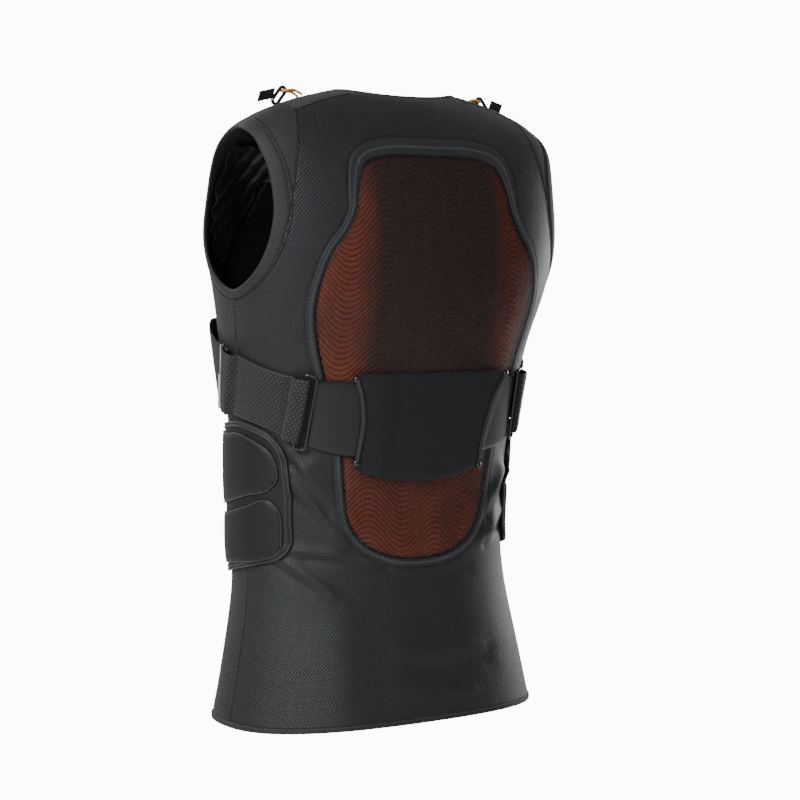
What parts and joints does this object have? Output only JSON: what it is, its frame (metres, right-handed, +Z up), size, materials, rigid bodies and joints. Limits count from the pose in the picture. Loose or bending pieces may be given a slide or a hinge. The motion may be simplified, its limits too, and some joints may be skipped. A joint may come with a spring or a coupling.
{
  "type": "protective vest",
  "caption": "Sleeveless protective vest in dark stretch mesh, with a back protector in a window pocket, a waist belt drawn through rings and padded sides.",
  "frame": {"origin": "middle of the neck opening, level with the top of the shoulders, where the vest sits on its wearer", "axes": "+Z up along the wearer's spine, +Y towards the wearer's back, +X towards the wearer's left"},
  "size_m": [0.3708, 0.2445, 0.6471],
  "materials": {
    "body_mesh": "stretch mesh knit, matt charcoal with a fine dotted surface",
    "smooth_cloth": "smooth matt stretch cloth",
    "binding": "folded edge tape, matt black, stitched",
    "ruched_cloth": "gathered grip cloth with fine cross folds",
    "satin_lining": "thin glossy black lining, creased",
    "foam_orange": "soft moulded foam with wavy ribs and vent dots",
    "window_mesh": "sheer dark mesh through which the orange foam shows",
    "tunnel_cloth": "dense dark cloth, faintly ribbed",
    "coated_wing": "coated cloth with a slight gloss",
    "elastic": "ribbed elastic webbing with box stitches",
    "ring_plastic": "glossy black moulded plastic",
    "neoprene": "foam faced with smooth black knit, double stitched",
    "cord_orange": "thin orange elastic cord"
  },
  "bodies": {
    "root": {"back_panel": "body_mesh", "front_panel": "body_mesh", "neck_binding": "binding", "hem_binding": "binding", "pocket_window": "window_mesh", "pocket_border": "binding", "back_protector": "foam_orange", "pocket_lining": "smooth_cloth", "chest_pad": "neoprene", "belt_tunnel": "tunnel_cloth", "belt_front_left": "elastic", "belt_front_right": "elastic", "shoulder_panel_left": "smooth_cloth", "shoulder_panel_right": "smooth_cloth", "shoulder_yoke_left": "ruched_cloth", "shoulder_yoke_right": "ruched_cloth", "armhole_binding_left": "binding", "armhole_binding_right": "binding", "side_lining_left": "satin_lining", "side_lining_right": "satin_lining", "belt_wing_left": "coated_wing", "belt_wing_right": "coated_wing", "belt_elastic_left": "elastic", "belt_elastic_right": "elastic", "belt_ring_back_left": "ring_plastic", "belt_ring_back_right": "ring_plastic", "belt_ring_side_left": "ring_plastic", "belt_ring_side_right": "ring_plastic", "shoulder_clip_left": "ring_plastic", "shoulder_clip_right": "ring_plastic", "shoulder_tab_left": "binding", "shoulder_tab_right": "binding", "shoulder_cord_left": "cord_orange", "shoulder_cord_right": "cord_orange", "side_pad_left": "neoprene", "side_pad_right": "neoprene", "side_pad_upper_lobe_left": "neoprene", "side_pad_upper_lobe_right": "neoprene", "side_pad_lower_lobe_left": "neoprene", "side_pad_lower_lobe_right": "neoprene"}
  },
  "joints": []
}
